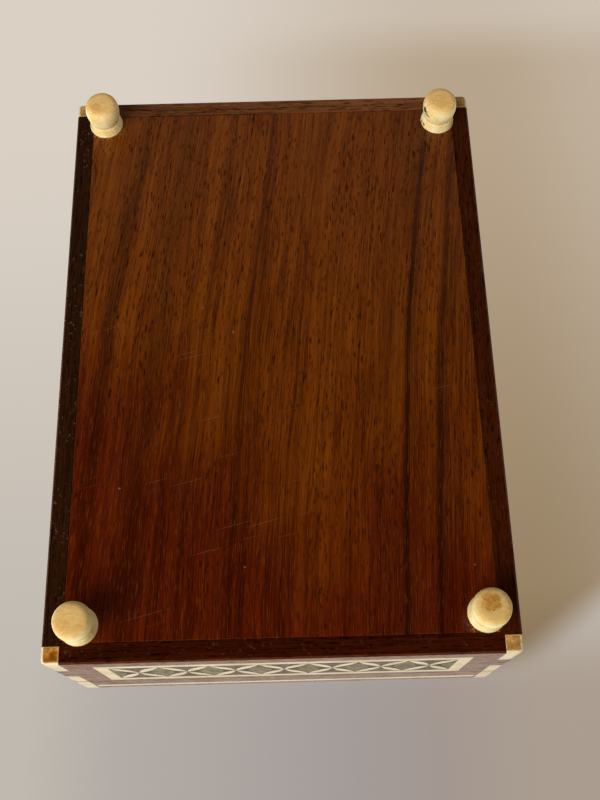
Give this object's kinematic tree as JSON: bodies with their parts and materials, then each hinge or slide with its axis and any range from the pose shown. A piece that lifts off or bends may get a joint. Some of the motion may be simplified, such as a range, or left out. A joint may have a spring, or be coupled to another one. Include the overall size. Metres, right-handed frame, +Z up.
{
  "type": "marquetry box",
  "caption": "Small rectangular wooden box with bone inlay and mosaic bands on its sides, turned bone feet, and a shallow lid hinged along the back.",
  "frame": {"origin": "on the floor plane under the feet, below the middle of the box", "axes": "+Z up, +X along the length, the front faces -Y and the hinges are at the back, +Y"},
  "size_m": [0.141, 0.1, 0.0534],
  "materials": {
    "rosewood_panel": "waxed rosewood, warm brown, grain along the length",
    "rosewood_board": "polished dark rosewood",
    "bone_inlay": "smooth aged bone",
    "turned_bone": "turned and polished bone, stained at the tips",
    "green_tile": "pale green stained bone",
    "dark_tile": "dark green stained wood",
    "brown_tile": "brown wood",
    "hinge_brass": "dull old brass"
  },
  "bodies": {
    "body": {"back_band_diamonds": "green_tile", "back_band_eye_fields": "dark_tile", "back_band_frame": "bone_inlay", "back_band_leaves": "bone_inlay", "back_band_triangles": "brown_tile", "back_wall": "rosewood_board", "base_panel": "rosewood_panel", "body_leaf_nails": "hinge_brass", "feet": "turned_bone", "front_band_diamonds": "green_tile", "front_band_eye_fields": "dark_tile", "front_band_frame": "bone_inlay", "front_band_leaves": "bone_inlay", "front_band_triangles": "brown_tile", "front_wall": "rosewood_board", "left_band_diamonds": "green_tile", "left_band_eye_fields": "dark_tile", "left_band_frame": "bone_inlay", "left_band_leaves": "bone_inlay", "left_band_triangles": "brown_tile", "left_hinge_body_leaf": "hinge_brass", "left_hinge_pin": "hinge_brass", "left_wall": "rosewood_board", "lower_corner_bones": "bone_inlay", "right_band_diamonds": "green_tile", "right_band_eye_fields": "dark_tile", "right_band_frame": "bone_inlay", "right_band_leaves": "bone_inlay", "right_band_triangles": "brown_tile", "right_hinge_body_leaf": "hinge_brass", "right_hinge_pin": "hinge_brass", "right_wall": "rosewood_board", "upper_corner_bones": "bone_inlay"},
    "lid": {"left_hinge_lid_leaf": "hinge_brass", "lid_back_line": "bone_inlay", "lid_back_rail": "rosewood_board", "lid_corner_bones": "bone_inlay", "lid_front_line": "bone_inlay", "lid_front_rail": "rosewood_board", "lid_leaf_nails": "hinge_brass", "lid_left_line": "bone_inlay", "lid_left_rail": "rosewood_board", "lid_panel": "rosewood_panel", "lid_right_line": "bone_inlay", "lid_right_rail": "rosewood_board", "lid_top_band_diamonds": "green_tile", "lid_top_band_eye_fields": "dark_tile", "lid_top_band_frame": "bone_inlay", "lid_top_band_leaves": "bone_inlay", "lid_top_band_triangles": "brown_tile", "lid_top_border": "bone_inlay", "right_hinge_lid_leaf": "hinge_brass"}
  },
  "joints": [
    {"name": "lid_hinge", "type": "hinge", "parent": "body", "child": "lid", "pos_m": [0, 0.04875, 0.03955], "axis": [-1, 0, 0], "range_deg": [0, 98]}
  ]
}
